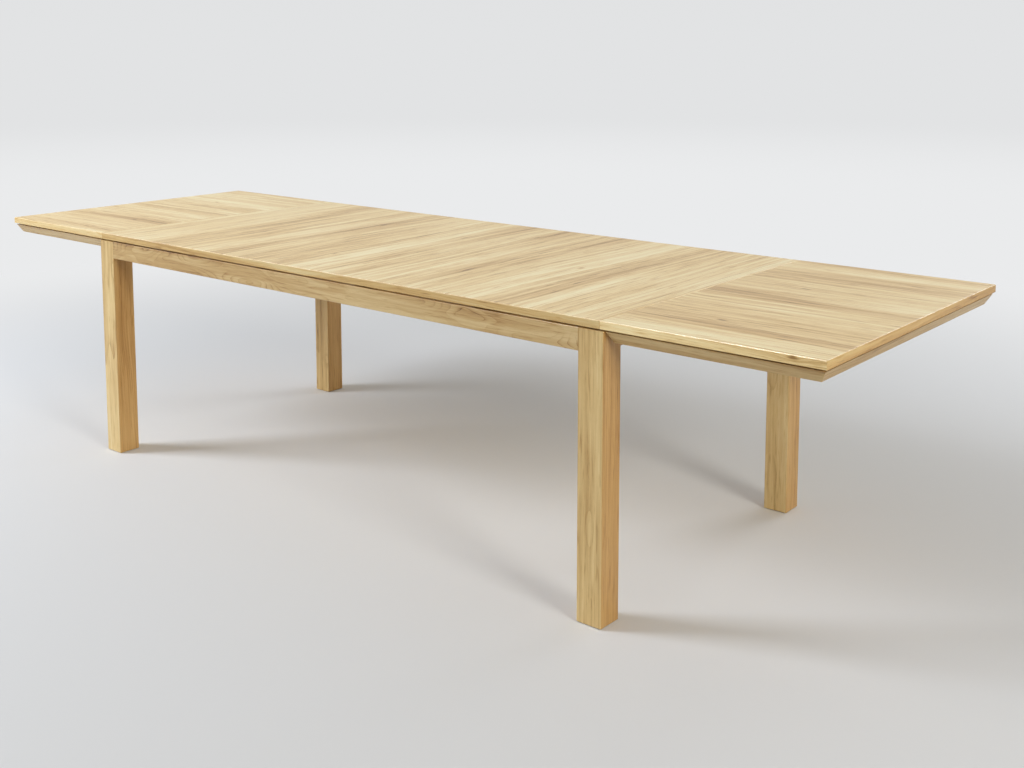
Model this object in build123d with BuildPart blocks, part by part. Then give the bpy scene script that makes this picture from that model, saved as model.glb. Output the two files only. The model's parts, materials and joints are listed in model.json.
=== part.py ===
"""Extending dining table in solid oak.

A fixed top stands on four square legs and an apron frame. At each end an extension leaf
carries two bearers, which slide through notches in the end apron and along runners under
the top. Drawing a leaf outwards opens the seam, frees its dowels and lets it come off.

Frame: millimetres, +Z up, +X along the table, origin on the floor below the middle.
Front is -Y, right is +X.
"""
from build123d import *
import os
from math import sqrt

# ---- driving sizes ---------------------------------------------------------------------
table_height = 740.0
table_width = 1000.0
main_length = 2010.0
leaf_length = 558.0
slab_thickness = 20.0
seam_gap = 0.8              # open joint between the top and a leaf
shadow_gap = 5.0            # dark line between a slab and what carries it
slab_arris = 3.0            # rounding of the slabs' outer top edges
slab_ease = 0.6             # small chamfer on the slabs' other edges

leg_size = 72.0
leg_proud_end = 12.0        # leg's face beyond the end of the fixed top
leg_proud_side = 1.0        # leg's face beyond the long edge
leg_arris = 2.5
apron_height = 55.0
apron_thickness = 22.0
apron_ease = 1.2
end_apron_setback = 22.0    # end apron behind the legs' end faces

moulding_height = 27.0
moulding_bevel = 15.5       # how far the bevel runs in over that height
moulding_flat = 60.0        # width of the underside
moulding_inset = 5.5        # top outer edge in from the slab's edge
moulding_leg_gap = 1.0      # between the inner moulding and the legs
packer_setback = 14.0       # packers in from the moulding's top edge
packer_width = 40.0
batten_width = 60.0

bearer_width = 50.0
bearer_height = 27.0
bearer_leg_gap = 154.0      # clear of the legs' inner faces, past the corner blocks
bearer_retained = 350.0     # length still inside the frame with the leaf closed
bearer_end_gap = 62.0       # bearer's end in from the leaf's outer edge
bearer_nose = 8.0           # bevel under the outer end
bearer_ease = 3.0
slide_clearance = 0.5       # below a bearer, on the runner's ledge
top_clearance = 1.5         # above a bearer, under the cross rails
side_clearance = 1.0

runner_length = 370.0
runner_wall = 18.0
runner_ledge = 12.0         # width of the ledge under a bearer
runner_ledge_height = 10.0
runner_end_gap = 0.5

rail_width = 60.0
rail_count = 4
cleat_width = 30.0
cleat_end_gap = 5.0

block_thickness = 30.0
block_height = 40.0
block_leg_gap = 6.0         # lets the bolt draw the leg tight
block_drop = 7.0            # top of the block below the top of the frame

dowel_radius = 5.0
dowel_length = 40.0
dowel_pitch = 25.0
rail_dowel_radius = 4.0
rail_dowel_length = 32.0
rail_dowel_in_apron = 12.0
leaf_dowel_radius = 4.0
leaf_dowel_length = 40.0
leaf_dowel_edge = 90.0      # outer dowels in from the long edges
glue_gap = 0.05             # round a glued dowel, a bolt or a nail, and past its end
leaf_dowel_gap = 0.2        # round the half of a leaf's dowel that slides
leaf_dowel_end = 1.0        # past its end

screw_radius = 2.0
screw_head_radius = 4.0
screw_gap = 0.05
top_screw_length = 43.0
top_screw_edge = 80.0       # outer screws in from the aprons
runner_screw_length = 60.0
cleat_screw_length = 44.0
cleat_screw_edge = 25.0
bearer_screw_length = 45.0
leaf_screw_length = 45.0
leaf_screw_edge = 150.0     # outer screws in from the leaf's corners

bolt_radius = 4.0
bolt_clearance = 0.5        # in the corner block
bolt_in_leg = 40.0
bolt_tail = 4.0             # thread past the nut
washer_radius = 10.0
washer_thickness = 1.6
nut_across_flats = 13.0
nut_height = 6.5

glide_radius = 12.0
glide_thickness = 1.5
nail_radius = 1.5
nail_length = 14.0

# ---- heights and faces that follow -------------------------------------------------------
slab_z = table_height - slab_thickness
frame_z = slab_z - shadow_gap
apron_z = frame_z - apron_height
moulding_z = frame_z - moulding_height
bearer_z = moulding_z - bearer_height
rail_z = moulding_z + top_clearance
notch_high = moulding_z + side_clearance
ledge_z = bearer_z - slide_clearance
runner_z = ledge_z - runner_ledge_height

half_main = main_length / 2
half_width = table_width / 2
leg_out_x = half_main + leg_proud_end
leg_out_y = half_width + leg_proud_side
leg_in_x = leg_out_x - leg_size
leg_in_y = leg_out_y - leg_size
apron_y = leg_out_y - apron_thickness / 2
apron_in_y = leg_out_y - apron_thickness
end_apron_out_x = leg_out_x - end_apron_setback
end_apron_x = end_apron_out_x - apron_thickness / 2
end_apron_in_x = end_apron_out_x - apron_thickness
leaf_in_x = half_main + seam_gap
leaf_out_x = leaf_in_x + leaf_length
ring_in_x = leg_out_x + moulding_leg_gap
ring_out_x = leaf_out_x - moulding_inset
ring_y = half_width - moulding_inset

bearer_y = leg_in_y - bearer_leg_gap - bearer_width / 2
bearer_in_x = end_apron_out_x - bearer_retained
bearer_out_x = leaf_out_x - bearer_end_gap
runner_in_y = bearer_width / 2 + side_clearance
runner_out_y = runner_in_y + runner_wall
runner_x = end_apron_in_x - runner_end_gap
outer_rail_x = runner_x - runner_length + rail_width / 2
rail_pitch = 2 * outer_rail_x / (rail_count - 1)
rail_places = [rail_pitch * i - outer_rail_x for i in range(rail_count)]
cleat_in_x = end_apron_in_x - cleat_width
cleat_x = end_apron_in_x - cleat_width / 2

# Each corner block is the band between two lines at 45 degrees. near and far are how
# far those lines cut the legs' inner faces, in from the leg's inner corner.
near = block_leg_gap * sqrt(2)
far = (block_leg_gap + block_thickness) * sqrt(2)
to_apron = leg_in_y - apron_in_y
to_end_apron = leg_in_x - end_apron_in_x
block_z = frame_z - block_drop - block_height
cleat_half = leg_in_y - (far - to_end_apron) - cleat_end_gap

ENDS = {"left": -1, "right": 1}
SIDES = {"front": -1, "rear": 1}
FLANKS = {"inner": -1, "outer": 1}
CORNERS = [(end, side) for end in ENDS for side in SIDES]


# ---- making, drilling and saving ---------------------------------------------------------
def save(piece, name):
    """Label a finished piece and write its STEP file."""
    piece.label = name
    os.makedirs("parts", exist_ok=True)
    export_step(piece, f"parts/{name}.step")


def facing(place, direction):
    """A plane at a place, facing a direction."""
    return Plane(origin=place, z_dir=direction)


def from_below(*points):
    """Planes for screws driven upwards, with their heads at the given points."""
    return [facing(point, (0, 0, -1)) for point in points]


def block(low, high):
    """A box between two corners, as part of the piece being made."""
    size = [b - a for a, b in zip(low, high)]
    with Locations(tuple((a + b) / 2 for a, b in zip(low, high))):
        Box(*size)


def end_block(sx, low, high):
    """The same, given for the right end and made at the end that sx says."""
    x = sorted((sx * low[0], sx * high[0]))
    block((x[0], *low[1:]), (x[1], *high[1:]))


def drill(planes, radius, depth):
    """Round holes of this depth from each plane into the piece being made."""
    with Locations(*planes):
        Hole(radius, depth)


def pilot(planes, length):
    """Holes for the shanks of screws whose heads stand at the planes."""
    drill(planes, screw_radius + screw_gap, length + screw_gap)


def sink(planes, length):
    """Countersunk holes for the heads and shanks of screws at the planes."""
    with Locations(*planes):
        CounterSinkHole(screw_radius + screw_gap, screw_head_radius + screw_gap,
                        length + screw_gap, counter_sink_angle=90)


def screws(name, planes, length):
    """Equal countersunk wood screws, with their heads flush with the planes."""
    neck = screw_radius - screw_head_radius
    tip = screw_radius - length
    with BuildPart() as screw:
        with BuildSketch(Plane.XZ):
            with BuildLine():
                Polyline((0, 0), (screw_head_radius, 0), (screw_radius, neck),
                         (screw_radius, tip), (0, -length), close=True)
            make_face()
        revolve(axis=Axis.Z)
    with BuildPart() as group:
        with Locations(*planes):
            add(screw.part)
    save(group.part, name)


def dowels(name, planes, radius, length, forward):
    """Equal dowels; each reaches forward of its plane, and the rest lies behind it."""
    with BuildPart() as group:
        with Locations(*planes):
            with Locations((0, 0, forward - length / 2)):
                Cylinder(radius, length)
        chamfer(group.edges().filter_by(GeomType.CIRCLE), radius / 6)
    save(group.part, name)


# ---- where the fastenings go ---------------------------------------------------------------
apron_middle = (apron_z + frame_z) / 2
bolt_z = block_z + block_height / 2
leg_dowels = {}
leg_dowels_end = {}
bolts = {}
for end, side in CORNERS:
    sx = ENDS[end]
    sy = SIDES[side]
    leg_dowels[end, side] = [
        facing((sx * leg_in_x, sy * apron_y, apron_middle + k * dowel_pitch / 2), (sx, 0, 0))
        for k in (-1, 1)]
    leg_dowels_end[end, side] = [
        facing((sx * end_apron_x, sy * leg_in_y, apron_middle + k * dowel_pitch / 2), (0, sy, 0))
        for k in (-1, 1)]
    back = (sx * (leg_in_x - far / 2), sy * (leg_in_y - far / 2), bolt_z)
    bolts[end, side] = facing(back, (-sx, -sy, 0))

rail_dowel_z = (rail_z + frame_z) / 2
rail_dowels = [
    facing((x + k * dowel_pitch / 2, sy * apron_in_y, rail_dowel_z), (0, sy, 0))
    for x in rail_places for k in (-1, 1) for sy in SIDES.values()]

leaf_dowel_y = half_width - leaf_dowel_edge
leaf_dowel_z = table_height - slab_thickness / 2
leaf_dowels = {
    end: [facing((sx * leaf_in_x, y, leaf_dowel_z), (-sx, 0, 0))
          for y in (-leaf_dowel_y, 0, leaf_dowel_y)]
    for end, sx in ENDS.items()}

rail_screw_y = apron_in_y - top_screw_edge
cleat_screw_y = bearer_y - runner_out_y - cleat_width
rail_screws = from_below(*[
    (x, y, rail_z) for x in rail_places for y in (-rail_screw_y, 0, rail_screw_y)])
cleat_top_screws = from_below(*[
    (sx * cleat_x, y, rail_z) for sx in ENDS.values() for y in (-cleat_screw_y, 0, cleat_screw_y)])
cleat_screws = {
    end: [facing((sx * cleat_in_x, y, rail_dowel_z), (-sx, 0, 0))
          for k in (-1, 1) for y in (k * cleat_screw_y / 2, k * (cleat_half - cleat_screw_edge))]
    for end, sx in ENDS.items()}

runner_screws = {}
for end, side in CORNERS:
    for flank, outward in FLANKS.items():
        y = SIDES[side] * (bearer_y + outward * (runner_in_y + runner_wall / 2))
        runner_screws[end, side, flank] = from_below(
            (ENDS[end] * cleat_x, y, runner_z), (ENDS[end] * outer_rail_x, y, runner_z))
all_runner_screws = [plane for planes in runner_screws.values() for plane in planes]

flat_in_x = ring_in_x + moulding_bevel
flat_out_x = ring_out_x - moulding_bevel
leaf_x = (flat_in_x + flat_out_x) / 2
inner_bar_x = flat_in_x + moulding_flat / 2
outer_bar_x = flat_out_x - moulding_flat / 2
side_bar_y = ring_y - moulding_bevel - moulding_flat / 2
nose_screw_x = (flat_out_x - moulding_flat + bearer_out_x - bearer_nose) / 2

bearer_screws = {}
leaf_screws = {}
for end, sx in ENDS.items():
    bearer_screws[end] = from_below(*[
        (sx * x, sy * bearer_y, bearer_z)
        for x in (inner_bar_x, leaf_x, nose_screw_x) for sy in SIDES.values()])
    leaf_screws[end] = from_below(*[
        (sx * x, y, moulding_z)
        for x in (inner_bar_x, leaf_x, outer_bar_x)
        for y in (-side_bar_y, leaf_screw_edge - side_bar_y, 0, side_bar_y - leaf_screw_edge,
                  side_bar_y)])

# ---- legs, with their glides ---------------------------------------------------------------
glide_planes = []
for end, side in CORNERS:
    sx = ENDS[end]
    sy = SIDES[side]
    middle = (sx * (leg_out_x - leg_size / 2), sy * (leg_out_y - leg_size / 2))
    foot = facing((*middle, glide_thickness), (0, 0, -1))
    glide_planes.append(foot)
    with BuildPart() as leg:
        with BuildSketch(Plane.XY.offset(glide_thickness)):
            with Locations(middle):
                RectangleRounded(leg_size, leg_size, leg_arris)
        extrude(amount=frame_z - glide_thickness)
        chamfer(leg.faces().sort_by(Axis.Z)[0].edges(), leg_arris * 0.6)
        drill([foot], nail_radius + glue_gap, nail_length + glue_gap)
        drill(leg_dowels[end, side] + leg_dowels_end[end, side],
              dowel_radius + glue_gap, dowel_length / 2 + glue_gap)
        drill([bolts[end, side]], bolt_radius + glue_gap,
              block_thickness + block_leg_gap + bolt_in_leg + glue_gap)
    save(leg.part, f"leg_{side}_{end}")

with BuildPart() as glide:
    Cylinder(glide_radius, glide_thickness, align=(Align.CENTER, Align.CENTER, Align.MIN))
    chamfer(glide.faces().sort_by(Axis.Z)[-1].edges(), glide_thickness / 3)
    with Locations((0, 0, -nail_length)):
        Cylinder(nail_radius, nail_length, align=(Align.CENTER, Align.CENTER, Align.MIN))
with BuildPart() as glides:
    with Locations(*glide_planes):
        add(glide.part)
save(glides.part, "floor_glides")

# ---- aprons --------------------------------------------------------------------------------
for side, sy in SIDES.items():
    with BuildPart() as apron:
        with Locations((0, sy * apron_y, apron_middle)):
            Box(2 * leg_in_x, apron_thickness, apron_height)
        chamfer(apron.edges().filter_by(Axis.X), apron_ease)
        drill(leg_dowels["left", side] + leg_dowels["right", side],
              dowel_radius + glue_gap, dowel_length / 2 + glue_gap)
        drill([plane for plane in rail_dowels if plane.z_dir.Y * sy > 0],
              rail_dowel_radius + glue_gap, rail_dowel_in_apron + glue_gap)
    save(apron.part, f"apron_{side}")

for end, sx in ENDS.items():
    with BuildPart() as end_apron:
        with Locations((sx * end_apron_x, 0, apron_middle)):
            Box(apron_thickness, 2 * leg_in_y, apron_height)
        chamfer(end_apron.edges().filter_by(Axis.Y), apron_ease)
        with Locations((sx * end_apron_x, -bearer_y, notch_high),
                       (sx * end_apron_x, bearer_y, notch_high)):
            Box(apron_thickness, bearer_width + 2 * side_clearance, 2 * apron_height,
                align=(Align.CENTER, Align.CENTER, Align.MAX), mode=Mode.SUBTRACT)
        drill(leg_dowels_end[end, "front"] + leg_dowels_end[end, "rear"],
              dowel_radius + glue_gap, dowel_length / 2 + glue_gap)
        pilot(cleat_screws[end], cleat_screw_length)
    save(end_apron.part, f"end_apron_{end}")

dowels("apron_dowels", [plane for corner in CORNERS
                        for plane in leg_dowels[corner] + leg_dowels_end[corner]],
       dowel_radius, dowel_length, dowel_length / 2)

# ---- corner blocks and their bolts -----------------------------------------------------------
for end, side in CORNERS:
    sx = ENDS[end]
    sy = SIDES[side]
    outline = [(near - to_apron, to_apron), (far - to_apron, to_apron),
               (to_end_apron, far - to_end_apron), (to_end_apron, near - to_end_apron)]
    with BuildPart() as corner_block:
        with BuildSketch(Plane.XY.offset(block_z)):
            with BuildLine():
                Polyline(*[(sx * (leg_in_x - u), sy * (leg_in_y - v)) for u, v in outline],
                         close=True)
            make_face()
        extrude(amount=block_height)
        drill([bolts[end, side]], bolt_radius + bolt_clearance, 2 * block_thickness)
    save(corner_block.part, f"corner_block_{side}_{end}")

bolt_planes = list(bolts.values())
bolt_outside = washer_thickness + nut_height + bolt_tail
bolt_length = bolt_outside + block_thickness + block_leg_gap + bolt_in_leg
with BuildPart() as hanger_bolts:
    with Locations(*bolt_planes):
        with Locations((0, 0, bolt_outside - bolt_length / 2)):
            Cylinder(bolt_radius, bolt_length)
    chamfer(hanger_bolts.edges().filter_by(GeomType.CIRCLE), bolt_radius / 4)
save(hanger_bolts.part, "hanger_bolts")

with BuildPart() as washer:
    with BuildSketch():
        Circle(washer_radius)
        Circle(bolt_radius + glue_gap, mode=Mode.SUBTRACT)
    extrude(amount=washer_thickness)
with BuildPart() as washers:
    with Locations(*bolt_planes):
        add(washer.part)
save(washers.part, "bolt_washers")

with BuildPart() as nut:
    with BuildSketch(Plane.XY.offset(washer_thickness)):
        RegularPolygon(nut_across_flats / 2, 6, major_radius=False)
        Circle(bolt_radius + glue_gap, mode=Mode.SUBTRACT)
    extrude(amount=nut_height)
with BuildPart() as nuts:
    with Locations(*bolt_planes):
        add(nut.part)
save(nuts.part, "bolt_nuts")

# ---- rails and cleats that carry the top -------------------------------------------------------
for number, x in enumerate(rail_places, start=1):
    with BuildPart() as rail:
        block((x - rail_width / 2, -apron_in_y, rail_z), (x + rail_width / 2, apron_in_y, slab_z))
        sink(rail_screws, top_screw_length)
        pilot(all_runner_screws, runner_screw_length)
        drill(rail_dowels, rail_dowel_radius + glue_gap,
              rail_dowel_length - rail_dowel_in_apron + glue_gap)
    save(rail.part, f"cross_rail_{number}")

dowels("rail_dowels", rail_dowels, rail_dowel_radius, rail_dowel_length, rail_dowel_in_apron)

for end, sx in ENDS.items():
    with BuildPart() as cleat:
        end_block(sx, (cleat_in_x, -cleat_half, rail_z), (end_apron_in_x, cleat_half, slab_z))
        sink(cleat_top_screws, top_screw_length)
        sink(cleat_screws[end], cleat_screw_length)
        pilot(all_runner_screws, runner_screw_length)
    save(cleat.part, f"end_cleat_{end}")

screws("top_screws", rail_screws + cleat_top_screws, top_screw_length)
screws("cleat_screws", cleat_screws["left"] + cleat_screws["right"], cleat_screw_length)

# ---- runners under the top -----------------------------------------------------------------------
for end, side in CORNERS:
    sx = ENDS[end]
    for flank, outward in FLANKS.items():
        way = SIDES[side] * outward
        middle = SIDES[side] * bearer_y
        section = [(runner_in_y - runner_ledge, runner_z), (runner_out_y, runner_z),
                   (runner_out_y, rail_z), (runner_in_y, rail_z),
                   (runner_in_y, ledge_z), (runner_in_y - runner_ledge, ledge_z)]
        with BuildPart() as runner:
            with BuildSketch(Plane.YZ.offset(sx * runner_x)):
                with BuildLine():
                    Polyline(*[(middle + way * y, z) for y, z in section], close=True)
                make_face()
            extrude(amount=-sx * runner_length)
            sink(runner_screws[end, side, flank], runner_screw_length)
        save(runner.part, f"runner_{end}_{side}_{flank}")

screws("runner_screws", all_runner_screws, runner_screw_length)

# ---- the fixed top -------------------------------------------------------------------------------
with BuildPart() as main_top:
    block((-half_main, -half_width, slab_z), (half_main, half_width, table_height))
    top_edges = main_top.faces().sort_by(Axis.Z)[-1].edges()
    fillet(top_edges.filter_by(Axis.X), slab_arris)
    chamfer(main_top.edges().filter_by(Axis.Y), slab_ease)
    drill(leaf_dowels["left"] + leaf_dowels["right"], leaf_dowel_radius + leaf_dowel_gap,
          leaf_dowel_length / 2 + leaf_dowel_end)
    pilot(rail_screws + cleat_top_screws, top_screw_length)
save(main_top.part, "main_top")


# ---- the extension leaves ------------------------------------------------------------------------
def moulding(outward, top_edge, half_length):
    """A bevelled bar, mitred at both ends, with its bevel facing outward.

    top_edge is the middle of its outer top edge, and half_length is that edge's half.
    """
    way = Vector(*outward)
    along = way.cross(Vector(0, 0, 1))
    edge = Vector(*top_edge)
    inside = -(moulding_bevel + moulding_flat)
    with BuildPart() as bar:
        with BuildSketch(Plane(origin=edge, x_dir=way, z_dir=along)):
            with BuildLine():
                Polyline((0, 0), (-moulding_bevel, -moulding_height),
                         (inside, -moulding_height), (inside, 0), close=True)
            make_face()
        extrude(amount=half_length, both=True)
        for turn in (-1, 1):
            split(bisect_by=facing(edge + along * (half_length * turn), way - along * turn),
                  keep=Keep.TOP)
    return bar.part


for end, sx in ENDS.items():
    with BuildPart() as panel:
        end_block(sx, (leaf_in_x, -half_width, slab_z), (leaf_out_x, half_width, table_height))
        ends = panel.faces().sort_by(Axis.X)
        outer_face = ends[-1] if sx > 0 else ends[0]
        fillet(outer_face.edges().filter_by(Axis.Z), slab_ease * 2)
        inner_face = ends[0] if sx > 0 else ends[-1]
        chamfer(inner_face.edges().sort_by(Axis.Z)[-1], slab_ease)
        top_edges = panel.faces().sort_by(Axis.Z)[-1].edges()
        inner_edge = top_edges.filter_by(Axis.Y).sort_by(Axis.X)[0 if sx > 0 else -1]
        fillet(top_edges - [inner_edge], slab_arris)
        drill(leaf_dowels[end], leaf_dowel_radius + glue_gap, leaf_dowel_length / 2 + glue_gap)
        pilot(leaf_screws[end], leaf_screw_length)
    save(panel.part, f"leaf_panel_{end}")
    dowels(f"leaf_dowels_{end}", leaf_dowels[end], leaf_dowel_radius, leaf_dowel_length,
           leaf_dowel_length / 2)

    ring_x = (ring_in_x + ring_out_x) / 2
    ring_half = (ring_out_x - ring_in_x) / 2
    bars = {
        "front": moulding((0, -1, 0), (sx * ring_x, -ring_y, frame_z), ring_half),
        "rear": moulding((0, 1, 0), (sx * ring_x, ring_y, frame_z), ring_half),
        "inner": moulding((-sx, 0, 0), (sx * ring_in_x, 0, frame_z), ring_y),
        "outer": moulding((sx, 0, 0), (sx * ring_out_x, 0, frame_z), ring_y),
    }
    for name, bar in bars.items():
        with BuildPart() as moulded:
            add(bar)
            sink(leaf_screws[end], leaf_screw_length)
            pilot(bearer_screws[end], bearer_screw_length)
        save(moulded.part, f"leaf_moulding_{end}_{name}")

    batten_y = ring_y - moulding_bevel - moulding_flat
    with BuildPart() as batten:
        end_block(sx, (leaf_x - batten_width / 2, -batten_y, moulding_z),
                  (leaf_x + batten_width / 2, batten_y, frame_z))
        sink(leaf_screws[end], leaf_screw_length)
        pilot(bearer_screws[end], bearer_screw_length)
    save(batten.part, f"leaf_batten_{end}")

    packer_y = ring_y - packer_setback
    packer_in_y = packer_y - packer_width
    packer_in_x = ring_in_x + packer_setback
    packer_out_x = ring_out_x - packer_setback
    with BuildPart() as packers:
        for sy in SIDES.values():
            low_y, high_y = sorted((sy * packer_y, sy * packer_in_y))
            end_block(sx, (packer_in_x, low_y, frame_z), (packer_out_x, high_y, slab_z))
        for x in (packer_in_x + packer_width / 2, leaf_x, packer_out_x - packer_width / 2):
            end_block(sx, (x - packer_width / 2, glue_gap - packer_in_y, frame_z),
                      (x + packer_width / 2, packer_in_y - glue_gap, slab_z))
        pilot(leaf_screws[end], leaf_screw_length)
    save(packers.part, f"leaf_packers_{end}")
    screws(f"leaf_screws_{end}", leaf_screws[end], leaf_screw_length)

    for side, sy in SIDES.items():
        with BuildPart() as bearer:
            end_block(sx, (bearer_in_x, sy * bearer_y - bearer_width / 2, bearer_z),
                      (bearer_out_x, sy * bearer_y + bearer_width / 2, moulding_z))
            ends = bearer.faces().sort_by(Axis.X)
            outer_face = ends[-1] if sx > 0 else ends[0]
            inner_face = ends[0] if sx > 0 else ends[-1]
            chamfer(inner_face.edges(), bearer_ease)
            chamfer(outer_face.edges().sort_by(Axis.Z)[0], bearer_nose)
            sink(bearer_screws[end], bearer_screw_length)
        save(bearer.part, f"bearer_{end}_{side}")
    screws(f"bearer_screws_{end}", bearer_screws[end], bearer_screw_length)
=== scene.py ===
import math

import bmesh
import bpy
from mathutils import Euler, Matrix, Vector
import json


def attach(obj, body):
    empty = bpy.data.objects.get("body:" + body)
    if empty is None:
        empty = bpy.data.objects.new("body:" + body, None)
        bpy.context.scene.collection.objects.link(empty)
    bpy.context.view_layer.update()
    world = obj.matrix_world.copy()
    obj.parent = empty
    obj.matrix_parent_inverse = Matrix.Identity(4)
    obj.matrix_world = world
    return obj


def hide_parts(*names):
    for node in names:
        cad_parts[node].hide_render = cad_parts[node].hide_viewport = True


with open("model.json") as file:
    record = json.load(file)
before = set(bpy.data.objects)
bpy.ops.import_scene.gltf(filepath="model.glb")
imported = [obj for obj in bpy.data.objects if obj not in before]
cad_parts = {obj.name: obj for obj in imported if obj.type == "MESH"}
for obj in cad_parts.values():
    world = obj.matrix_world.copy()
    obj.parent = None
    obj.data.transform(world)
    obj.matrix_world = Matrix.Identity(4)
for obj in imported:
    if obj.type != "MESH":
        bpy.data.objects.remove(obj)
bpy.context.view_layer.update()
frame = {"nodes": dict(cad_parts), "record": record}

# ---- main top --------------------------------------------------------------------------
# A fixed slab 20 mm thick, oak veneer laid crosswise over a stable core. Its long edges
# are lipped with oak that runs along the table. Screws through the cross rails and the
# end cleats hold it from below, and a satin lacquer leaves the grain to be felt.


def wire(tree, made, inputs):
    """Links or sets the inputs of a node."""
    for key, value in inputs.items():
        if isinstance(value, bpy.types.NodeSocket):
            tree.links.new(value, made.inputs[key])
        else:
            made.inputs[key].default_value = value


def node(tree, kind, inputs, **settings):
    """A shader or geometry node, with its settings made and its inputs linked or set."""
    made = tree.nodes.new(kind)
    for name, value in settings.items():
        setattr(made, name, value)
    wire(tree, made, inputs)
    return made


def calc(tree, operation, *values, clamp=False):
    """One step of arithmetic in a node tree."""
    inputs = dict(enumerate(values))
    return node(tree, "ShaderNodeMath", inputs, operation=operation, use_clamp=clamp).outputs[0]


def between(tree, value, low, high, **settings):
    """Where a value lies from low, which becomes 0, to high, which becomes 1."""
    return node(tree, "ShaderNodeMapRange", {0: value, 1: low, 2: high}, **settings).outputs[0]


def mix(tree, share, first, second, way="MIX"):
    """Two colours, mixed by a share of 0 to 1."""
    return node(tree, "ShaderNodeMix", {0: share, 6: first, 7: second}, data_type="RGBA",
                blend_type=way).outputs[2]


def relief(tree, strength, depth, height):
    """The normal of a surface with a fine relief."""
    return node(tree, "ShaderNodeBump",
                {"Strength": strength, "Distance": depth, "Height": height}).outputs[0]


def paint(red, green, blue):
    """A screen colour of 0 to 255 as the linear colour that a shader takes."""
    screen = [part / 255 for part in (red, green, blue)]
    linear = [((s + 0.055) / 1.055) ** 2.4 if s > 0.04 else s / 12.92 for s in screen]
    return (*linear, 1.0)


def new_finish(name):
    """A fresh material, with its node tree and its surface shader."""
    material = bpy.data.materials.new(name)
    material.use_nodes = True
    return material, material.node_tree, material.node_tree.nodes["Principled BSDF"]


def noise(tree, place, stretch, detail, seed, roughness=0.5):
    """Smooth noise from 0 to 1, with its own frequency along, across and through the grain."""
    offset = (seed * 1.7, seed * 3.1, seed * 0.9)
    spot = node(tree, "ShaderNodeMapping", {0: place, 1: offset, 3: stretch}).outputs[0]
    return node(tree, "ShaderNodeTexNoise",
                {"Vector": spot, "Scale": 1.0, "Detail": detail, "Roughness": roughness}).outputs[0]


def swing(tree, place, stretch, detail, seed, roughness=0.5):
    """Smooth noise from -0.5 to 0.5."""
    return calc(tree, "SUBTRACT", noise(tree, place, stretch, detail, seed, roughness), 0.5)


def grain_place(tree, faces, turn):
    """Object coordinates turned to run along, across and through the grain.

    faces gives the three axes for faces that look along X, along Y and along Z."""
    own = node(tree, "ShaderNodeTexCoord", {}).outputs["Object"]
    if turn:
        own = node(tree, "ShaderNodeMapping", {0: own, 2: (0.0, 0.0, turn)}).outputs[0]
    axes = node(tree, "ShaderNodeSeparateXYZ", {0: own}).outputs
    ordered = {}
    for order in sorted(set(faces)):
        picked = {i: axes["XYZ".index(axis)] for i, axis in enumerate(order)}
        ordered[order] = node(tree, "ShaderNodeCombineXYZ", picked).outputs[0]
    place = ordered[faces[2]]
    if len(ordered) == 1:
        return place
    normal = node(tree, "ShaderNodeNewGeometry", {}).outputs["True Normal"]
    facing = node(tree, "ShaderNodeVectorMath", {0: normal}, operation="ABSOLUTE").outputs[0]
    n = node(tree, "ShaderNodeSeparateXYZ", {0: facing}).outputs
    looks = {0: calc(tree, "GREATER_THAN", n[0], calc(tree, "MAXIMUM", n[1], n[2])),
             1: calc(tree, "GREATER_THAN", n[1], calc(tree, "MAXIMUM", n[0], n[2]))}
    for i, mask in looks.items():
        place = node(tree, "ShaderNodeMix", {0: mask, 4: place, 5: ordered[faces[i]]},
                     data_type="VECTOR").outputs[1]
    return place


def knot_field(tree, place, knots):
    """How near the grain is to a knot, and how far the rings are pushed aside by it."""
    along_ratio = 0.35
    deep_ratio = 0.12
    core_fade = -1.4
    push_fade = -0.45
    push_reach = 2.4
    dark, push = None, None
    for along, across, through, size in knots:
        away = node(tree, "ShaderNodeVectorMath", {0: place, 1: (along, across, through)},
                    operation="SUBTRACT").outputs[0]
        stretch = (along_ratio / size, 1.0 / size, deep_ratio / size)
        flat = node(tree, "ShaderNodeVectorMath", {0: away, 1: stretch},
                    operation="MULTIPLY").outputs[0]
        far = node(tree, "ShaderNodeVectorMath", {0: flat}, operation="LENGTH").outputs["Value"]
        core = calc(tree, "MULTIPLY", calc(tree, "MULTIPLY", far, far), core_fade)
        near = calc(tree, "EXPONENT", core)
        wide = calc(tree, "EXPONENT", calc(tree, "MULTIPLY", far, push_fade))
        shift = calc(tree, "MULTIPLY", wide, size * push_reach)
        dark = near if dark is None else calc(tree, "ADD", dark, near, clamp=True)
        push = shift if push is None else calc(tree, "ADD", push, shift)
    return dark, push


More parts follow.
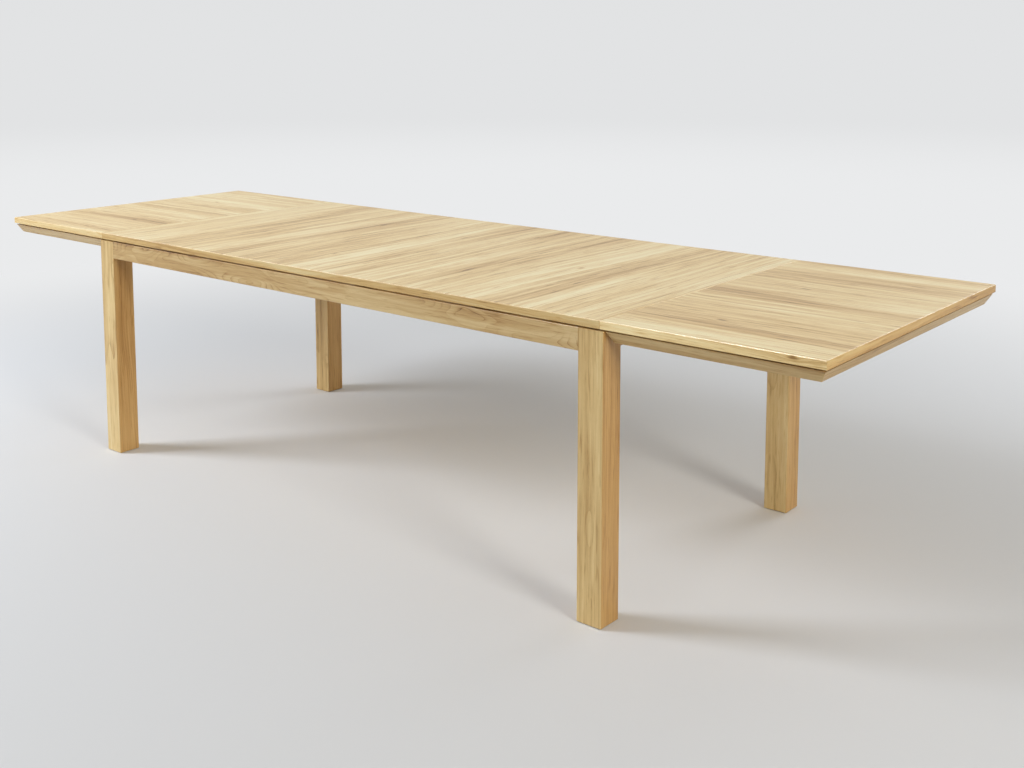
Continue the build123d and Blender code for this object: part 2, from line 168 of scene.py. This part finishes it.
def oak(name, faces, seed, shades, ring=0.009, wander=0.05, crown=0.03, contrast=1.0, line=0.32,
        knots=(), rough=0.36, strip=None, painted_face_shading=None, turn=0.0):
    """Lacquered oak. shades runs from the darkest line to the palest band.

    ring is the width of one year's growth. wander is how far the rings drift sideways, and
    crown how far they bulge in flat-sawn wood. line is how dark each ring's first wood is.
    strip is how far out a glued-on end strip of another board starts, where there is one.
    tints gives a colour for the faces that look along X, Y or Z: painted shade where it is darker,
    painted light where it is over 255.
    turn swings the grain round Z."""
    material, tree, shader = new_finish(name)
    place = grain_place(tree, faces, turn)
    part = node(tree, "ShaderNodeSeparateXYZ", {0: place}).outputs
    # The rings: slow wandering, short ripples, and crowns where the board is flat sawn.
    ripple_size = 0.008
    drift = swing(tree, place, (0.9, 2.6, 2.6), 1.0, seed)
    ripple = swing(tree, place, (5.0, 16.0, 16.0), 2.0, seed + 3)
    crowns = swing(tree, place, (2.6, 11.0, 11.0), 1.5, seed + 5)
    across = calc(tree, "MULTIPLY_ADD", drift, wander, part[1])
    across = calc(tree, "MULTIPLY_ADD", ripple, ripple_size, across)
    if knots:
        dark_knot, push = knot_field(tree, place, knots)
        across = calc(tree, "ADD", across, push)
    bent = node(tree, "ShaderNodeCombineXYZ", {0: part[0], 1: across, 2: part[2]}).outputs[0]
    rings = calc(tree, "DIVIDE", calc(tree, "MULTIPLY_ADD", crowns, crown * 2, across), ring)
    late = calc(tree, "FRACT", rings)
    year = node(tree, "ShaderNodeTexWhiteNoise", {"W": calc(tree, "FLOOR", rings)},
                noise_dimensions="1D").outputs[0]
    # Each ring starts dark and fades fast, more in some years and places than in others.
    fade_power = 5.0
    least_year = 0.3
    early = calc(tree, "POWER", calc(tree, "SUBTRACT", 1.0, late), fade_power)
    strength = between(tree, noise(tree, bent, (1.6, 20.0, 20.0), 2.0, seed + 11), 0.38, 0.66)
    strength = calc(tree, "MULTIPLY", strength, calc(tree, "ADD", year, least_year))
    early = calc(tree, "MULTIPLY", early, strength)
    # Tone: broad bands, streaks, single fibres and dark flecks, all bent with the rings.
    broad = swing(tree, bent, (0.8, 10.0, 10.0), 2.0, seed + 17)
    streak = swing(tree, bent, (2.6, 90.0, 90.0), 3.0, seed + 19, 0.6)
    fibre = swing(tree, bent, (9.0, 620.0, 620.0), 3.0, seed + 23)
    fleck = between(tree, noise(tree, bent, (14.0, 210.0, 210.0), 2.0, seed + 27), 0.56, 0.74)
    odd_year = calc(tree, "SUBTRACT", year, 0.5)
    weights = [(broad, 1.15 * contrast), (streak, 0.95 * contrast), (fibre, 0.32 * contrast),
               (odd_year, 0.16 * contrast), (early, -line), (fleck, -0.30 * contrast)]
    if strip:
        half_glue_line = 0.0007
        out = calc(tree, "ABSOLUTE", part[1])
        weights.append((calc(tree, "GREATER_THAN", out, strip), 0.07))
        weights.append((calc(tree, "COMPARE", out, strip, half_glue_line), -0.35))
    if knots:
        weights.append((dark_knot, -0.62))
    tone = 0.59
    for pattern, weight in weights:
        tone = calc(tree, "MULTIPLY_ADD", pattern, weight, tone)
    ramp = node(tree, "ShaderNodeValToRGB", {0: tone})
    stops = ramp.color_ramp.elements
    shade_places = (0.02, 0.30, 0.58, 0.88)
    for stop, k in ((stops[0], 0), (stops[1], 3)):
        stop.position = shade_places[k]
        stop.color = shades[k]
    for k in (1, 2):
        stops.new(shade_places[k]).color = shades[k]
    # Open pores: short dark dashes, thickest in each ring's first wood.
    pore_dark = 0.55
    pore = between(tree, noise(tree, bent, (75.0, 1500.0, 1500.0), 2.0, seed + 29), 0.57, 0.72)
    pore = calc(tree, "MULTIPLY", pore, calc(tree, "MULTIPLY_ADD", early, 1.4, 0.25), clamp=True)
    colour = mix(tree, calc(tree, "MULTIPLY", pore, pore_dark), ramp.outputs[0], shades[0])
    # Painted shade and painted light: faces that look squarely along an axis are multiplied by their
    # colour, darker or paler as the lamps fall on them.
    squarely = 0.75
    for axis, tint in (painted_face_shading or {}).items():
        normal = node(tree, "ShaderNodeNewGeometry", {}).outputs["True Normal"]
        look = node(tree, "ShaderNodeSeparateXYZ", {0: normal}).outputs["XYZ".index(axis)]
        side = calc(tree, "GREATER_THAN", calc(tree, "ABSOLUTE", look), squarely)
        colour = mix(tree, side, colour, tint, "MULTIPLY")
    # The lacquer is duller over the pores, which it doesn't fill, and the fibres are felt.
    gloss = calc(tree, "MULTIPLY_ADD", pore, 0.22, rough)
    gloss = calc(tree, "MULTIPLY_ADD", streak, -0.10, gloss)
    height = calc(tree, "MULTIPLY_ADD", pore, -0.8, calc(tree, "MULTIPLY", fibre, 0.5))
    height = calc(tree, "MULTIPLY_ADD", early, -0.3, height)
    wire(tree, shader, {"Base Color": colour, "Roughness": gloss,
                        "Normal": relief(tree, 0.35, 0.0003, height)})
    return material


def finish_with(material, *names):
    """Gives fixed nodes their finish."""
    for name in names:
        for place in frame["nodes"][name].material_slots:
            place.material = material


# The veneer shows its crosswise grain on top and at the ends, and the lipping runs along.
top_grain = ("YZX", "XZY", "YXZ")
honey = [paint(150, 109, 55), paint(210, 172, 109), paint(239, 208, 147), paint(255, 238, 189)]
top_knots = [(-0.004, 0.588, 0.74, 0.006), (0.21, -0.41, 0.74, 0.005), (-0.28, -0.12, 0.74, 0.0045),
             (0.33, 0.17, 0.74, 0.004)]
# The top's long edges, which look along Y, get painted shade, darker than the top face.
top_oak = oak("oak_top_crosswise", top_grain, 2.0, honey, ring=0.0105, wander=0.06, crown=0.02,
              contrast=1.12, knots=top_knots, strip=0.972, painted_face_shading={"Y": paint(224, 214, 194)})
finish_with(top_oak, "main_top")

# ---- legs ------------------------------------------------------------------------------
# Four square posts of solid oak, 72 mm each way, that stand just past the edges of the
# fixed top. They take the aprons' dowels and the hanger bolts, and end on nylon glides.
upright = ("ZYX", "ZYX", "ZYX")
leg_shades = [paint(122, 88, 44), paint(190, 152, 92), paint(221, 190, 130), paint(239, 217, 166)]
# The faces that look along X get painted shade, darker and more orange than the fronts.
leg_oak = oak("oak_leg_upright", upright, 5.0, leg_shades, ring=0.008, wander=0.03, crown=0.022,
              line=0.42, contrast=0.78, painted_face_shading={"X": paint(232, 212, 188)})
finish_with(leg_oak, "leg_front_left", "leg_front_right", "leg_rear_left", "leg_rear_right")

# ---- aprons ----------------------------------------------------------------------------
# Solid boards 22 mm thick, dowelled between the legs and set a shadow gap below the top.
# The end ones have two notches each, open below, where the leaf's bearers run through.
lengthwise = ("XYZ", "XYZ", "XYZ")
crosswise = ("YXZ", "YXZ", "YXZ")
apron_shades = [paint(107, 73, 34), paint(168, 128, 73), paint(193, 158, 102), paint(213, 185, 132)]
apron_growth = {"ring": 0.007, "wander": 0.02, "crown": 0.08, "line": 0.5}
apron_oak = oak("oak_apron_long", lengthwise, 8.0, apron_shades, **apron_growth)
end_apron_oak = oak("oak_apron_end", crosswise, 9.0, apron_shades, **apron_growth)
finish_with(apron_oak, "apron_front", "apron_rear")
finish_with(end_apron_oak, "end_apron_left", "end_apron_right")

# ---- frame under the top ---------------------------------------------------------------
# Plain planed oak: four cross rails and two end cleats that the top is screwed to,
# corner blocks that the legs are bolted through, and the runners that carry the bearers.
frame_shades = [paint(122, 86, 48), paint(184, 146, 96), paint(206, 172, 122), paint(222, 194, 148)]
planed = 0.5
cross_oak = oak("oak_frame_crosswise", crosswise, 11.0, frame_shades, rough=planed)
long_oak = oak("oak_frame_lengthwise", lengthwise, 12.0, frame_shades, rough=planed)
finish_with(cross_oak, "cross_rail_1", "cross_rail_2", "cross_rail_3", "cross_rail_4")
finish_with(cross_oak, "end_cleat_left", "end_cleat_right")
for end in ("left", "right"):
    for side in ("front", "rear"):
        finish_with(long_oak, f"runner_{end}_{side}_inner", f"runner_{end}_{side}_outer")
corner_ways = {"one_way": (45, "front_left", "rear_right"),
               "other_way": (-45, "front_right", "rear_left")}
for way, (turn, *corners) in corner_ways.items():
    block_oak = oak(f"oak_corner_block_{way}", lengthwise, 13.0, frame_shades, rough=planed,
                    turn=math.radians(turn))
    finish_with(block_oak, *[f"corner_block_{corner}" for corner in corners])

# ---- dowels ----------------------------------------------------------------------------
# Fluted beech pegs, with chamfered ends, glued across each joint of the frame. Three
# more stand in the inner edge of each leaf and slide into the main top.


def solids_of(name):
    """The points of each separate solid in a fixed node."""
    copy = bmesh.new()
    copy.from_mesh(frame["nodes"][name].data)
    bmesh.ops.remove_doubles(copy, verts=copy.verts, dist=1e-6)
    left = set(copy.verts)
    solids = []
    while left:
        reached = [left.pop()]
        points = []
        while reached:
            vert = reached.pop()
            points.append(vert.co.copy())
            for edge in vert.link_edges:
                other = edge.other_vert(vert)
                if other in left:
                    left.remove(other)
                    reached.append(other)
        solids.append(points)
    copy.free()
    return solids


def runs_of(name, facing=None):
    """Where each peg, screw or bolt of a node starts, which way it runs, and how long it is.

    The wider end is the start. facing says "corner" for what runs out to a leg at 45 degrees,
    "up" for what stands upright, and nothing for what is longest along one of the axes."""
    runs = []
    for points in solids_of(name):
        low = Vector(map(min, zip(*points)))
        high = Vector(map(max, zip(*points)))
        middle = (low + high) / 2
        ways = [Vector((1, 0, 0)), Vector((0, 1, 0)), Vector((0, 0, 1))]
        if facing == "up":
            ways = ways[2:]
        if facing == "corner":
            ways = [Vector((math.copysign(1, middle.x), math.copysign(1, middle.y), 0)).normalized()]
        spans = [max((p - middle) @ way for p in points) for way in ways]
        way = ways[spans.index(max(spans))]
        half = max(spans)
        spread = {}
        for end in (-1, 1):
            tips = [p - middle for p in points if (p - middle) @ way * end > half - 0.0001]
            spread[end] = max((tip - way * (tip @ way)).length for tip in tips)
        if spread[1] > spread[-1] + 0.0005:
            way = -way
        runs.append((middle - way * half, way, 2 * half))
    return sorted(runs, key=lambda run: tuple(round(part, 4) for part in run[0]))


def stand(name, data):
    """A new object in the scene, at the origin."""
    made = bpy.data.objects.new(name, data)
    bpy.context.scene.collection.objects.link(made)
    return made


def turned(name, profile, sides, outline=None, closed=False):
    """A part turned round Z through (radius, height) points.

    outline changes the radius, and closed joins the last point to the first, round a bore."""
    smooth_below = math.radians(32)
    made = bmesh.new()
    rows = []
    for radius, height in profile:
        row = []
        for k in range(sides if radius > 0 else 1):
            angle = 2 * math.pi * k / sides
            reach = outline(radius, height, angle) if outline else radius
            row.append(made.verts.new((reach * math.cos(angle), reach * math.sin(angle), height)))
        rows.append(row)
    for low, high in zip(rows, rows[1:] + rows[:1] if closed else rows[1:]):
        for k in range(sides):
            corners = [low[k % len(low)], low[(k + 1) % len(low)],
                       high[(k + 1) % len(high)], high[k % len(high)]]
            corners = list(dict.fromkeys(corners))
            if len(corners) > 2:
                made.faces.new(corners)
    bmesh.ops.recalc_face_normals(made, faces=made.faces)
    mesh = bpy.data.meshes.new(name)
    made.to_mesh(mesh)
    made.free()
    mesh.shade_smooth()
    mesh.set_sharp_from_angle(angle=smooth_below)
    return stand(name, mesh)


def setting_out():
    """The node tree that stands one part at each place, turned to the way that it runs."""
    tree = bpy.data.node_groups.new("setting_out", "GeometryNodeTree")
    kinds = {"Places": "Geometry", "Part": "Object", "Finish": "Material", "Most Turn": "Float",
             "Seed": "Int"}
    for name, kind in kinds.items():
        tree.interface.new_socket(name, in_out="INPUT", socket_type=f"NodeSocket{kind}")
    tree.interface.new_socket("Made", in_out="OUTPUT", socket_type="NodeSocketGeometry")
    given = tree.nodes.new("NodeGroupInput").outputs
    way = node(tree, "GeometryNodeInputNamedAttribute", {"Name": "way"}, data_type="FLOAT_VECTOR")
    turn = node(tree, "FunctionNodeRandomValue", {2: 0.0, 3: given["Most Turn"], 8: given["Seed"]},
                data_type="FLOAT").outputs[1]
    own_turn = node(tree, "FunctionNodeAxisAngleToRotation", {"Axis": (0, 0, 1), "Angle": turn})
    swung = node(tree, "FunctionNodeAlignRotationToVector",
                 {"Rotation": own_turn.outputs[0], "Vector": way.outputs[0]}, axis="Z")
    part = node(tree, "GeometryNodeObjectInfo", {"Object": given["Part"]}).outputs["Geometry"]
    placed = node(tree, "GeometryNodeInstanceOnPoints",
                  {"Points": given["Places"], "Instance": part, "Rotation": swung.outputs[0]})
    real = node(tree, "GeometryNodeRealizeInstances", {0: placed.outputs[0]}).outputs[0]
    done = node(tree, "GeometryNodeSetMaterial",
                {"Geometry": real, "Material": given["Finish"]}).outputs[0]
    tree.links.new(done, tree.nodes.new("NodeGroupOutput").inputs[0])
    return tree


def set_out(name, part, node_name, finish, turn=0.0, facing=None):
    """Stands a part wherever the fixed node has one, as one piece that stands for the node."""
    runs = runs_of(node_name, facing)
    places = bpy.data.meshes.new(name)
    places.from_pydata([run[0] for run in runs], [], [])
    ways = places.attributes.new("way", "FLOAT_VECTOR", "POINT")
    ways.data.foreach_set("vector", [value for run in runs for value in run[1]])
    carrier = stand(f"{name}_places", places)
    step = carrier.modifiers.new("setting out", "NODES")
    step.node_group = in_place
    values = {"Part": part, "Finish": finish, "Most Turn": turn, "Seed": len(runs)}
    for item in in_place.interface.items_tree:
        if item.name in values:
            step[item.identifier] = values[item.name]
    view = bpy.context.evaluated_depsgraph_get()
    mesh = bpy.data.meshes.new_from_object(carrier.evaluated_get(view))
    carrier.modifiers.remove(step)
    bpy.data.objects.remove(carrier)
    bpy.data.objects.remove(part)
    piece = stand(name, mesh)
    bodies = frame["record"]["behaviour"]["bodies"]
    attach(piece, [body for body, members in bodies.items() if node_name in members][0])
    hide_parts(node_name)
    return piece


in_place = setting_out()
beech, tree, shader = new_finish("beech_plain")
own = node(tree, "ShaderNodeTexCoord", {}).outputs["Object"]
cloud = noise(tree, own, (60.0, 60.0, 60.0), 2.0, 31.0)
speck = between(tree, noise(tree, own, (900.0, 900.0, 900.0), 2.0, 33.0), 0.58, 0.72)
ground = mix(tree, cloud, paint(206, 168, 124), paint(226, 194, 152))
ground = mix(tree, calc(tree, "MULTIPLY", speck, 0.6), ground, paint(158, 112, 72))
wire(tree, shader, {"Base Color": ground,
                    "Roughness": calc(tree, "MULTIPLY_ADD", cloud, 0.15, 0.5),
                    "Normal": relief(tree, 0.3, 0.0002, speck)})
dowel_sizes = {"apron_dowels": (0.005, 0.040), "rail_dowels": (0.004, 0.032),
               "leaf_dowels_left": (0.004, 0.040), "leaf_dowels_right": (0.004, 0.040)}
flutes = 16
flute_lines = 3
flute_floor = 0.93
end_radius = 0.84


def fluted(radius, height, angle):
    """Every third line of the peg lies in a flute."""
    groove = round(angle / (2 * math.pi) * flutes * flute_lines) % flute_lines == 0
    return radius * (flute_floor if groove else 1.0)


for name, (radius, length) in dowel_sizes.items():
    bevel = radius / 6
    tip = radius * end_radius
    profile = [(0, 0), (tip, 0), (radius, bevel), (radius, length - bevel), (tip, length), (0, length)]
    peg = turned("peg", profile, flutes * flute_lines, fluted)
    set_out(f"{name}_fluted", peg, name, beech)

# ---- screws ----------------------------------------------------------------------------
# Zinc-plated wood screws, with countersunk heads and cross recesses, driven flush with
# the wood. They hold the top, runners, cleats, battens and bearers, and turn anyhow.
zinc, tree, shader = new_finish("zinc_plate")
own = node(tree, "ShaderNodeTexCoord", {}).outputs["Object"]
spangle = noise(tree, own, (350.0, 350.0, 350.0), 2.0, 41.0)
scuff = noise(tree, own, (90.0, 90.0, 1400.0), 2.0, 43.0)
wire(tree, shader, {"Base Color": mix(tree, spangle, paint(168, 168, 164), paint(206, 207, 204)),
                    "Roughness": calc(tree, "MULTIPLY_ADD", scuff, 0.3, 0.2), "Metallic": 1.0})
screw_lengths = {"top_screws": 0.043, "runner_screws": 0.060, "cleat_screws": 0.044,
                 "leaf_screws_left": 0.045, "leaf_screws_right": 0.045,
                 "bearer_screws_left": 0.045, "bearer_screws_right": 0.045}
head_face = 0.0037
head_radius = 0.0039
head_depth = 0.0020
shank_radius = 0.0020
core_radius = 0.0014
plain_share = 0.42
tip_length = 0.003
screw_pitch = 0.0024
rows_per_turn = 3
recess_radius = 0.0024
recess_depth = 0.0022
cross_width = 0.6
cross_waist = 0.42
thread_gap = 0.004
screw_sides = 24


def screw_outline(length):
    """A cross in the head, and a thread that winds down to the tip."""
    def reach(radius, height, angle):
        if radius < recess_radius + 1e-5 and height < recess_depth - 0.0001:
            return radius * (1.0 if abs(math.sin(2 * angle)) < cross_width else cross_waist)
        if length * plain_share < height < length - tip_length:
            wind = (height / screw_pitch - angle / (2 * math.pi)) % 1.0
            return core_radius + (shank_radius - core_radius) * (1 - abs(2 * wind - 1))
        return radius
    return reach


for name, length in screw_lengths.items():
    plain = length * plain_share
    rows = int((length - plain - thread_gap) / screw_pitch * rows_per_turn)
    profile = [(0, recess_depth), (recess_radius * 0.6, 0.0020), (recess_radius, 0.0),
               (head_face, 0.0), (head_radius, 0.0001), (shank_radius, head_depth),
               (shank_radius * 0.9, plain)]
    profile += [(core_radius, plain + 0.0002 + k * screw_pitch / rows_per_turn) for k in range(rows)]
    profile += [(core_radius, length - tip_length), (0, length)]
    screw = turned("screw", profile, screw_sides, screw_outline(length))
    set_out(f"{name}_crosshead", screw, name, zinc, turn=math.pi / 2)

# ---- leg bolts -------------------------------------------------------------------------
# An M8 hanger bolt stands in each leg with its wood thread, and comes out through the
# corner block. A washer and a chamfered hexagon nut draw the leg tight into the corner.
bolt_length = runs_of("hanger_bolts", "corner")[0][2]
bolt_radius = 0.004
fine_pitch = 0.00125
fine_depth = 0.0006
fine_rows = 55
machine_end = 0.018
coarse_pitch = 0.003
coarse_depth = 0.001
coarse_rows = 45
wood_start = bolt_length - 0.038
bolt_tip = 0.004
bolt_sides = 24


def bolt_outline(radius, height, angle):
    """A fine thread at the nut's end and a coarse one in the leg."""
    turned_by = angle / (2 * math.pi)
    if 0.0005 < height < machine_end:
        wind = (height / fine_pitch - turned_by) % 1.0
        return bolt_radius - fine_depth * (1 - abs(2 * wind - 1))
    if wood_start < height < bolt_length - bolt_tip:
        wind = (height / coarse_pitch - turned_by) % 1.0
        return bolt_radius - coarse_depth * (1 - max(0.0, 1 - 3 * abs(wind - 0.5)))
    return radius


profile = [(0, 0), (0.0031, 0), (0.0038, 0.0005)]
profile += [(bolt_radius, 0.0006 + k * fine_pitch / 4) for k in range(fine_rows)]
profile += [(0.0037, machine_end + 0.0005), (0.0037, wood_start - 0.0005)]
profile += [(bolt_radius, wood_start + 0.0002 + k * coarse_pitch / 4) for k in range(coarse_rows)]
profile += [(0.003, bolt_length - bolt_tip), (0, bolt_length)]
bolt = turned("bolt", profile, bolt_sides, bolt_outline)
set_out("hanger_bolts_threaded", bolt, "hanger_bolts", zinc, facing="corner")

nut_height = runs_of("bolt_nuts", "corner")[0][2]
nut_sides = 72
half_flats = 0.0065
bore = bolt_radius + 0.00003


def hexagon(radius, height, angle):
    """Six flats where the radius reaches past them."""
    sector = (angle + math.pi / 6) % (math.pi / 3) - math.pi / 6
    return min(radius, half_flats / math.cos(sector))


def bored_ring(chamfer, face, rim, drop, height):
    """The outline of a ring with a chamfered bore and a rim eased from its flat faces."""
    lower = [(bore, chamfer), (bore + chamfer, 0), (face, 0), (rim, drop)]
    return lower + [(radius, height - up) for radius, up in reversed(lower)]


nut = turned("nut", bored_ring(0.0005, 0.0063, 0.0076, 0.0007, nut_height), nut_sides, hexagon,
             closed=True)
set_out("bolt_nuts_chamfered", nut, "bolt_nuts", zinc, turn=math.pi,
        facing="corner")

washer_height = runs_of("bolt_washers", "corner")[0][2]
washer_sides = 48
washer = turned("washer", bored_ring(0.0002, 0.0097, 0.01, 0.0003, washer_height), washer_sides,
                closed=True)
set_out("bolt_washers_stamped", washer, "bolt_washers", zinc, facing="corner")

# ---- glides ----------------------------------------------------------------------------
# A nylon disc under each leg, with a domed rim, nailed up through a dimple in its middle
# so that the oak never touches the floor.
nylon, tree, shader = new_finish("nylon_moulded")
own = node(tree, "ShaderNodeTexCoord", {}).outputs["Object"]
mottle = noise(tree, own, (220.0, 220.0, 220.0), 3.0, 51.0)
wire(tree, shader, {"Base Color": mix(tree, mottle, paint(128, 116, 100), paint(158, 146, 128)),
                    "Roughness": calc(tree, "MULTIPLY_ADD", mottle, 0.2, 0.42),
                    "Normal": relief(tree, 0.2, 0.0002, mottle)})
dimple = [(0, 0.0004), (0.0016, 0.0003), (0.0024, 0.0001), (0.003, 0)]
rim = [(0.0105, 0), (0.0114, 0.0002), (0.0119, 0.0007), (0.012, 0.0015)]
nail = [(0.001, 0.0015), (0.0009, 0.0135), (0, 0.0155)]
glide_sides = 40
glide = turned("glide", dimple + rim + nail, glide_sides)
set_out("floor_glides_moulded", glide, "floor_glides", nylon, facing="up")

# ---- leaves ----------------------------------------------------------------------------
# Two end leaves, each a veneered panel whose grain runs lengthwise, on a mitred moulding
# with a bevelled outer face. Packers make the shadow gap, and a batten keeps it flat.
leaf_grain = ("YZX", "XZY", "XYZ")
leaf_knots = [(1.218, -0.317, 0.74, 0.005), (1.207, 0.129, 0.74, 0.005), (1.488, 0.735, -0.5, 0.005),
              (-1.33, 0.21, 0.74, 0.005), (-1.18, -0.26, 0.74, 0.004)]
# A tint over 255 makes the wood paler: painted light on the right leaf's long edges, with painted
# shade on the left leaf's.
painted_edge_shading = {"left": paint(228, 216, 196), "right": paint(266, 272, 280)}
moulding_growth = {"wander": 0.02, "crown": 0.012}
moulding_long_oak = oak("oak_moulding_long", ("XZY", "XZY", "XYZ"), 16.0, apron_shades,
                        **moulding_growth)
moulding_end_oak = oak("oak_moulding_end", ("YZX", "YZX", "YXZ"), 17.0, apron_shades,
                       **moulding_growth)
for end, painted_edge_tone in painted_edge_shading.items():
    # Each leaf's end edges, which look along X, get painted shade, darker than the top.
    leaf_oak = oak(f"oak_leaf_{end}", leaf_grain, 14.0, honey, ring=0.0105, wander=0.06, crown=0.02,
                   contrast=1.05, knots=leaf_knots, painted_face_shading={"X": paint(228, 212, 178), "Y": painted_edge_tone})
    finish_with(leaf_oak, f"leaf_panel_{end}")
    finish_with(moulding_long_oak, f"leaf_moulding_{end}_front", f"leaf_moulding_{end}_rear")
    finish_with(moulding_end_oak, f"leaf_moulding_{end}_inner", f"leaf_moulding_{end}_outer")
    finish_with(long_oak, f"leaf_packers_{end}")
    finish_with(cross_oak, f"leaf_batten_{end}")
    finish_with(long_oak, f"bearer_{end}_front", f"bearer_{end}_rear")

# ---- studio ----------------------------------------------------------------------------
# A pale floor that fades into a pale surround, so that no horizon shows from any side.
# Soft lamps stand in front to the left, far to the right, and behind. A tiny fourth one
# lights nothing, and only glints on the rounded front edge of the right leaf.
near_haze = paint(234, 235, 236)
horizon = paint(226, 227, 228)
zenith = paint(222, 223, 224)
floor_pale = paint(222, 222, 222)
floor_half = 60.0
floor_fade = (1.8, 4.3)
horizon_fade = (8.0, 18.0)
ambience = (0.30, 0.29, 0.27, 1.0)
ambience_front = (0.20, 0.19, 0.175, 1.0)
ambience_rear = (0.40, 0.385, 0.36, 1.0)


def glow_of(tree, seen, thrown):
    """One colour where the surround is seen, and another for the light that it throws."""
    bounced = node(tree, "ShaderNodeLightPath", {}).outputs["Is Diffuse Ray"]
    return mix(tree, bounced, seen, thrown)


floor_mesh = bpy.data.meshes.new("studio_floor")
floor_mesh.from_pydata([(-floor_half, -floor_half, 0), (floor_half, -floor_half, 0),
                        (floor_half, floor_half, 0), (-floor_half, floor_half, 0)],
                       [], [(0, 1, 2, 3)])
floor = stand("studio_floor", floor_mesh)
floor_finish, tree, shader = new_finish("studio_floor")
wire(tree, shader, {"Base Color": floor_pale, "Roughness": 0.75, "Specular IOR Level": 0.25})
own = node(tree, "ShaderNodeTexCoord", {}).outputs["Object"]
far = node(tree, "ShaderNodeVectorMath", {0: own}, operation="LENGTH").outputs["Value"]
fade = between(tree, far, *floor_fade, interpolation_type="SMOOTHSTEP")
distance = between(tree, far, *horizon_fade, interpolation_type="SMOOTHSTEP")
pale = mix(tree, distance, near_haze, horizon)
haze = node(tree, "ShaderNodeEmission", {"Color": glow_of(tree, pale, ambience), "Strength": 1.0})
blend = node(tree, "ShaderNodeMixShader", {0: fade, 1: shader.outputs[0], 2: haze.outputs[0]})
wire(tree, tree.nodes["Material Output"], {"Surface": blend.outputs[0]})
floor_mesh.materials.append(floor_finish)

world = bpy.data.worlds.new("studio")
bpy.context.scene.world = world
world.use_nodes = True
tree = world.node_tree
looking = node(tree, "ShaderNodeTexCoord", {}).outputs["Generated"]
way = node(tree, "ShaderNodeSeparateXYZ", {0: looking}).outputs
rise = between(tree, way[2], 0.0, 0.35)
behind = between(tree, way[1], -1.0, 1.0)
around = mix(tree, behind, ambience_front, ambience_rear)
pale = mix(tree, rise, horizon, zenith)
wire(tree, tree.nodes["Background"], {"Color": glow_of(tree, pale, around)})


def softbox(name, place, aim, width, height, power, tint):
    """A soft rectangular lamp that the camera doesn't see."""
    lamp = bpy.data.lights.new(name, "AREA")
    lamp.shape = "RECTANGLE"
    lamp.size = width
    lamp.size_y = height
    lamp.energy = power
    lamp.color = tint
    holder = stand(name, lamp)
    holder.location = place
    holder.rotation_euler = (Vector(aim) - Vector(place)).to_track_quat("-Z", "Y").to_euler()
    holder.visible_camera = False
    return holder


middle = (0, 0, 0.4)
right_leaf_edge = (1.5, -0.5, 0.74)
softbox("key_lamp", (-4.5, -3.5, 3.5), middle, 2.0, 2.0, 315, (0.93, 1.0, 1.10))
softbox("right_lamp", (7.2, -1.9, 3.5), middle, 1.9, 1.6, 225, (1.0, 0.98, 0.92))
softbox("back_lamp", (1.5, 4.4, 2.8), middle, 2.0, 2.0, 50, (0.94, 1.0, 1.07))
glint = softbox("glint_lamp", (0.1, -1.25, 3.3), right_leaf_edge, 0.14, 0.14, 190, (1.0, 1.0, 1.0))
glint.visible_diffuse = False

scene = bpy.context.scene
scene.view_settings.view_transform = "Standard"
scene.view_settings.look = "None"

# The camera stands in front to the right, a little above the top, with a slight fall.
fall = 6.578
heading = 39.448
camera = bpy.data.cameras.new("camera")
camera.sensor_width = 36.0
camera.lens = 43.8
camera.shift_y = -0.20
camera.clip_end = 200.0
viewer = stand("camera", camera)
viewer.location = (2.6233, -2.7809, 1.3867)
viewer.rotation_euler = Euler((math.radians(90 - fall), 0.0, math.radians(heading)))
scene.camera = viewer
